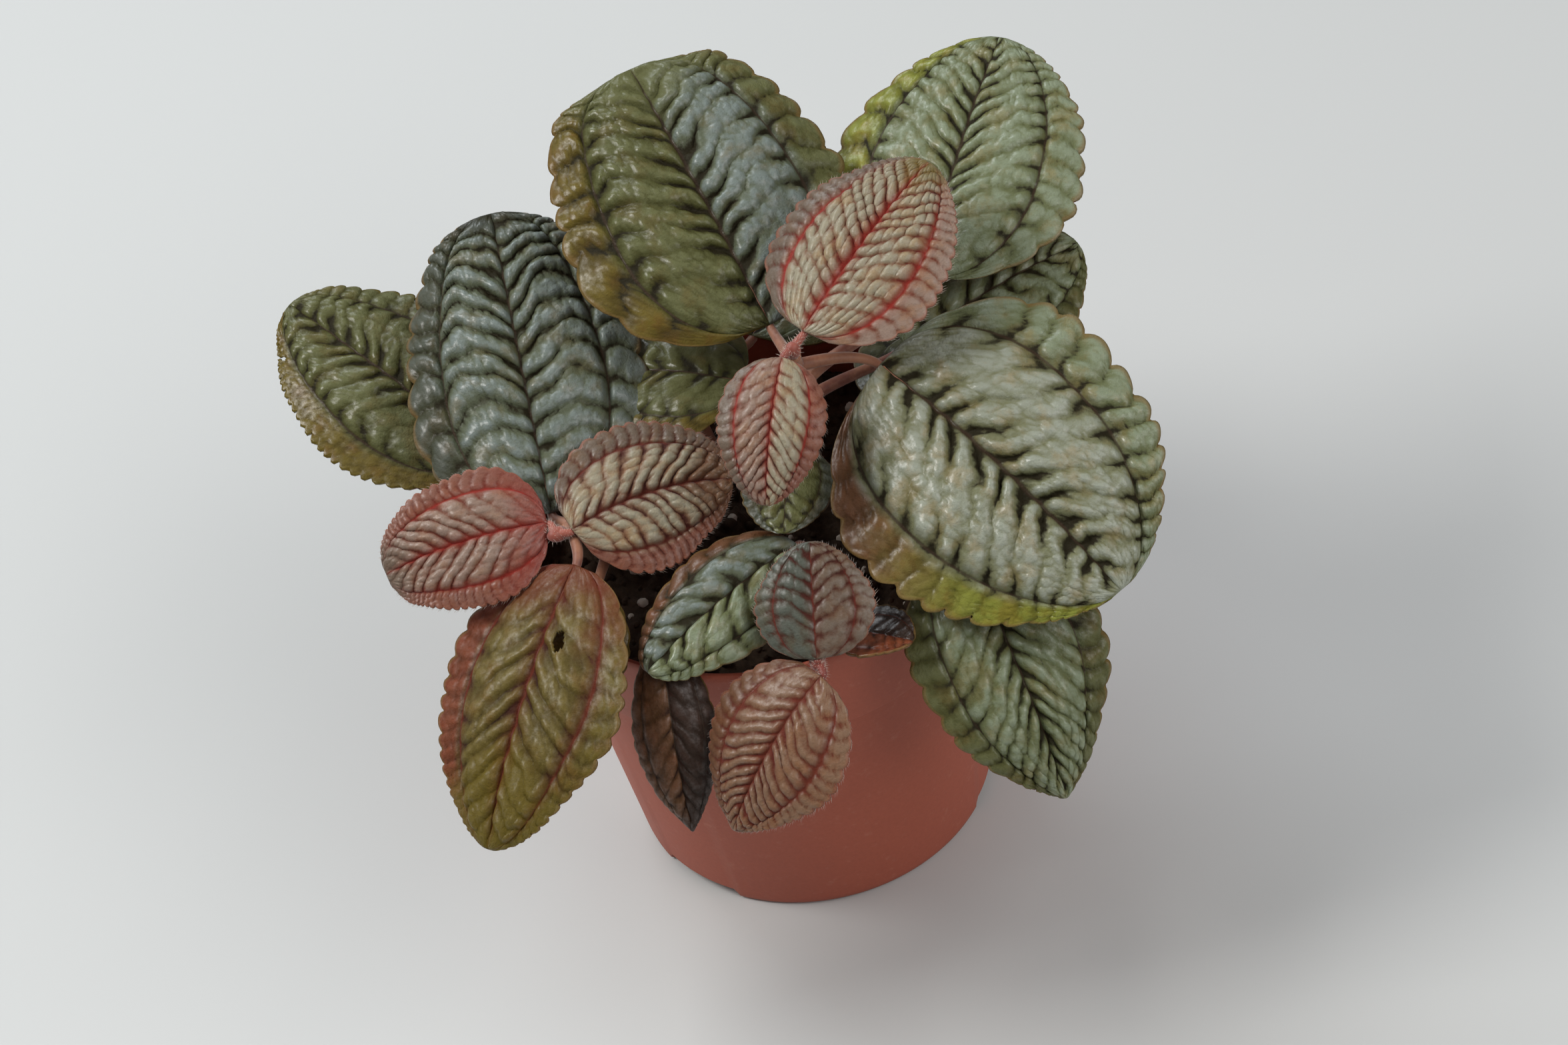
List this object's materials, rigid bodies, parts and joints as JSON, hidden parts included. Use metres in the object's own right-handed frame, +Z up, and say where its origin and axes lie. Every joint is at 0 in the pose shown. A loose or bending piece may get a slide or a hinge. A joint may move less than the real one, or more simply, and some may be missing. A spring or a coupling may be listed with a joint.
{
  "type": "potted pilea",
  "caption": "Small creeping pilea with silver-banded quilted leaves and red young tips, standing in a tapered terracotta-coloured plastic nursery pot.",
  "frame": {"origin": "middle of the pot's flat base, on the surface it stands on", "axes": "+Z up along the pot's axis; +Y away from the viewer of the plant's front; +X to the viewer's right"},
  "size_m": [0.1411, 0.1439, 0.1233],
  "materials": {
    "pot_plastic": "matte, faintly pitted",
    "peat": "loose dark peat with pale grains",
    "grown_leaf": "waxy silver-green with dark veins",
    "young_leaf": "soft, hairy, silvery red"
  },
  "bodies": {
    "root": {"pot": "pot_plastic", "soil": "peat", "left_leafy_stem": "grown_leaf", "top_leafy_stem": "grown_leaf", "front_leafy_stem": "grown_leaf", "right_leafy_stem": "grown_leaf", "back_leafy_stem": "grown_leaf", "left_young_tip": "young_leaf", "top_young_tip": "young_leaf", "front_young_tip": "young_leaf", "back_young_tip": "young_leaf"}
  },
  "joints": []
}
